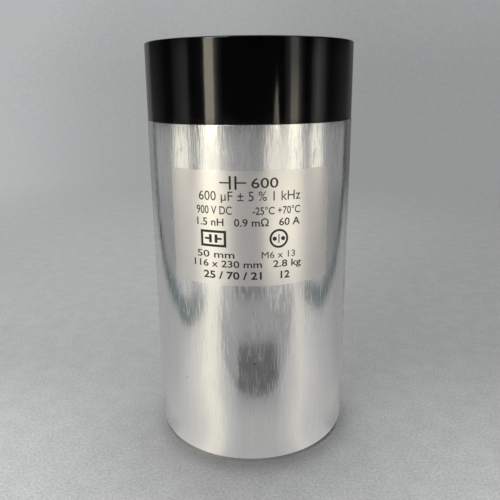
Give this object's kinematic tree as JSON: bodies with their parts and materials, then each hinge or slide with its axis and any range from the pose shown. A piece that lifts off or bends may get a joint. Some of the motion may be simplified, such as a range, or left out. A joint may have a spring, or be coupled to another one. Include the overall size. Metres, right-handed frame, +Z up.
{
  "type": "dc link film capacitor",
  "caption": "Cylindrical power capacitor: a drawn aluminium can with a deep black moulded cover that carries threaded terminals, and film windings potted inside.",
  "frame": {"origin": "centre of the can's base, on the surface that the can stands on", "axes": "+Z up the can towards the terminals, the terminals lie along X, and the label faces -Y"},
  "size_m": [0.116, 0.1161, 0.233],
  "materials": {
    "can": "drawn, with fine lines along the can and soft reflections",
    "cover": "glossy black moulding",
    "label": "satin silver film with dark print",
    "print": "printed ink, in the visual model only",
    "terminal": "turned brass",
    "plug": "plain moulded plastic",
    "copper": "bright copper strip",
    "solder": "soft solder, dull bright",
    "film": "metallised polypropylene film",
    "spray": "rough sprayed zinc",
    "core_tube": "plain moulded plastic",
    "wrap": "clear film in many turns",
    "spacer": "pressed board",
    "liner": "satin plastic sheet",
    "resin": "dark cast resin"
  },
  "bodies": {
    "root": {"can": "can", "cover": "cover", "label": "label", "left_terminal": "terminal", "right_terminal": "terminal", "fill_plugs": "plug", "left_lead": "copper", "right_lead": "copper", "left_strap": "copper", "right_strap": "copper", "solder_joints": "solder", "lower_winding": "film", "lower_end_spray": "spray", "lower_core_tube": "core_tube", "lower_wrap": "wrap", "middle_winding": "film", "middle_end_spray": "spray", "middle_core_tube": "core_tube", "middle_wrap": "wrap", "upper_winding": "film", "upper_end_spray": "spray", "upper_core_tube": "core_tube", "upper_wrap": "wrap", "base_spacer": "spacer", "can_liner": "liner", "potting_resin": "resin"}
  },
  "joints": []
}
